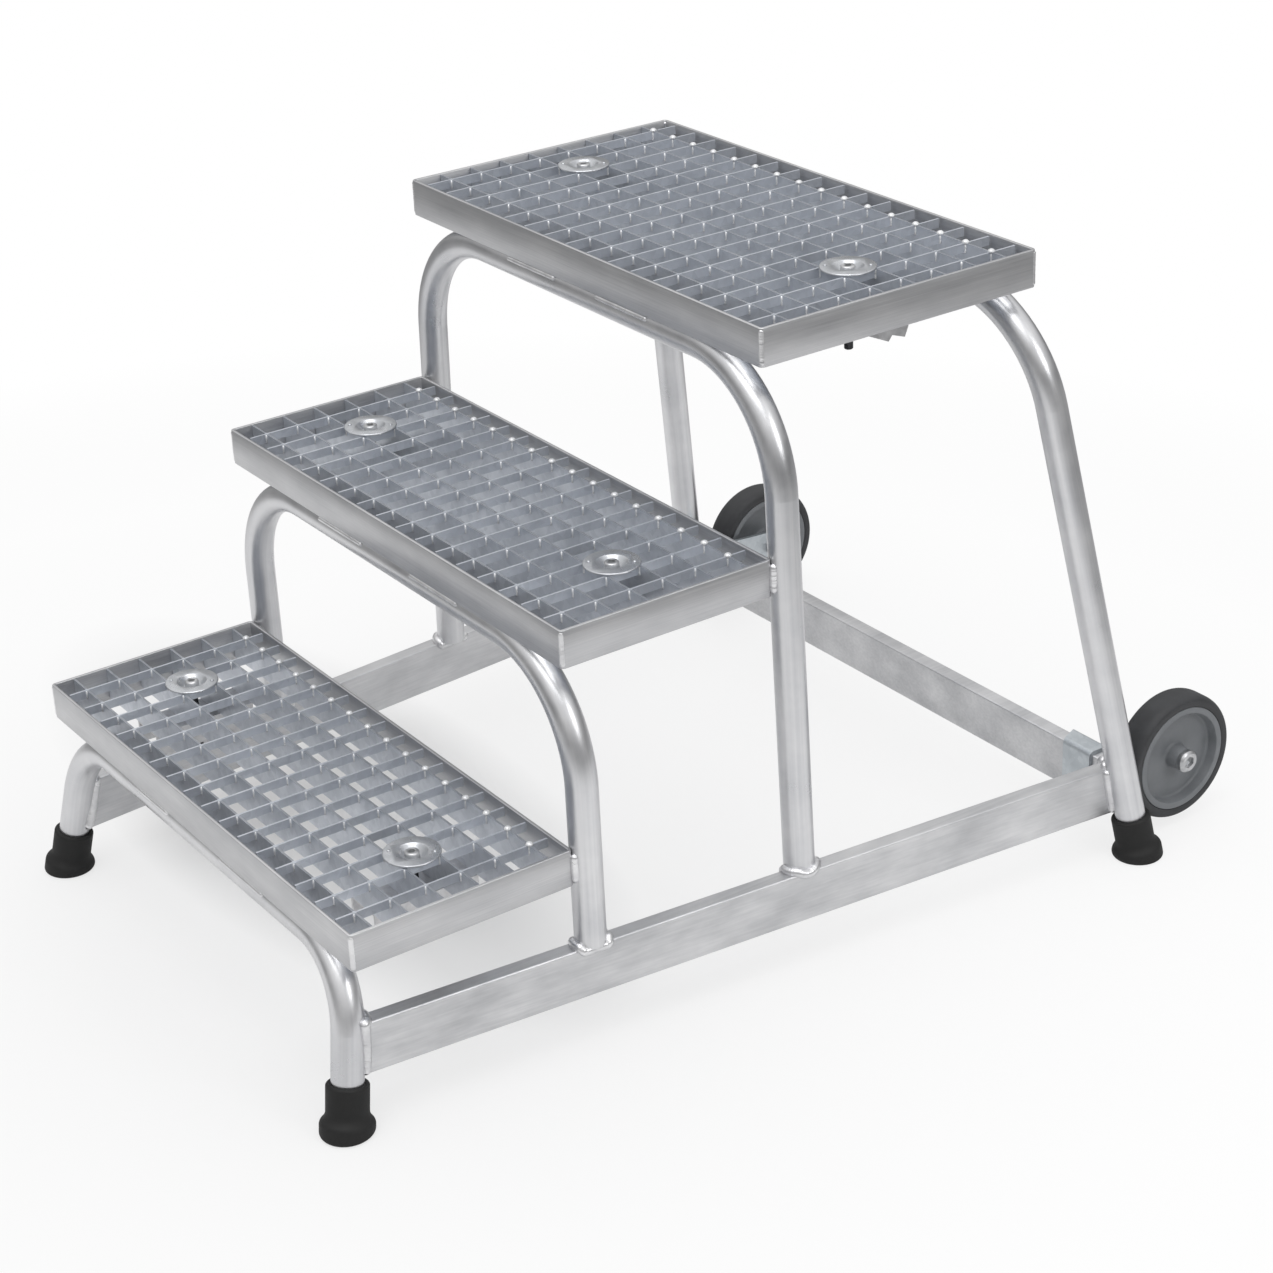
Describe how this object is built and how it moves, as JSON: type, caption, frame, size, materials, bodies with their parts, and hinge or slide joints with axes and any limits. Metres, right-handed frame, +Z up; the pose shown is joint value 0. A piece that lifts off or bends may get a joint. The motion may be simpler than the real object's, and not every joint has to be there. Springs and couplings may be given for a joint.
{
  "type": "mobile work platform",
  "caption": "Mobile work platform: grated aluminium treads on bent-tube bows and spreading base rails, with rubber feet and tip-to-roll wheels behind.",
  "frame": {"origin": "on the floor, at the middle of the object's bounding box", "axes": "+Z up, +Y the climbing direction towards the wheels, +X the user's right when climbing"},
  "size_m": [0.752, 0.959, 0.5896],
  "materials": {
    "aluminium_tube": "mill-drawn tube",
    "aluminium_rail": "mill finish",
    "aluminium_flat": "brushed flat bar",
    "galvanised_grating": "hot-dip galvanised",
    "zinc_clip": "zinc plated",
    "saddle_steel": "zinc plated",
    "bolt_steel": "zinc plated",
    "zinc_bracket": "bright zinc plated",
    "foot_rubber": "matte",
    "tyre_rubber": "matte",
    "hub_plastic": "satin"
  },
  "bodies": {
    "platform": {"front_bow": "aluminium_tube", "middle_bow": "aluminium_tube", "upper_bow": "aluminium_tube", "rear_bow": "aluminium_tube", "rail_right": "aluminium_rail", "foot_front_right": "foot_rubber", "foot_rear_right": "foot_rubber", "rail_left": "aluminium_rail", "foot_front_left": "foot_rubber", "foot_rear_left": "foot_rubber", "cross_rail": "aluminium_rail", "frame_lower": "aluminium_flat", "grating_lower": "galvanised_grating", "clip_disc_lower_right": "zinc_clip", "clip_bolt_lower_right": "bolt_steel", "clip_saddle_lower_right": "saddle_steel", "clip_disc_lower_left": "zinc_clip", "clip_bolt_lower_left": "bolt_steel", "clip_saddle_lower_left": "saddle_steel", "frame_middle": "aluminium_flat", "grating_middle": "galvanised_grating", "clip_disc_middle_right": "zinc_clip", "clip_bolt_middle_right": "bolt_steel", "clip_saddle_middle_right": "saddle_steel", "clip_disc_middle_left": "zinc_clip", "clip_bolt_middle_left": "bolt_steel", "clip_saddle_middle_left": "saddle_steel", "frame_top": "aluminium_flat", "grating_top": "galvanised_grating", "clip_disc_top_right": "zinc_clip", "clip_bolt_top_right": "bolt_steel", "clip_saddle_top_right": "saddle_steel", "clip_disc_top_left": "zinc_clip", "clip_bolt_top_left": "bolt_steel", "clip_saddle_top_left": "saddle_steel", "bracket_right": "zinc_bracket", "axle_bolt_right": "bolt_steel", "axle_nut_right": "bolt_steel", "bracket_left": "zinc_bracket", "axle_bolt_left": "bolt_steel", "axle_nut_left": "bolt_steel"},
    "wheel_right": {"tyre_right": "tyre_rubber", "hub_right": "hub_plastic"},
    "wheel_left": {"tyre_left": "tyre_rubber", "hub_left": "hub_plastic"}
  },
  "joints": [
    {"name": "wheel_right_spin", "type": "hinge", "parent": "platform", "child": "wheel_right", "pos_m": [0.32103, 0.41705, 0.07], "axis": [1, 0, 0], "continuous": true},
    {"name": "wheel_left_spin", "type": "hinge", "parent": "platform", "child": "wheel_left", "pos_m": [-0.32103, 0.41705, 0.07], "axis": [1, 0, 0], "continuous": true}
  ]
}
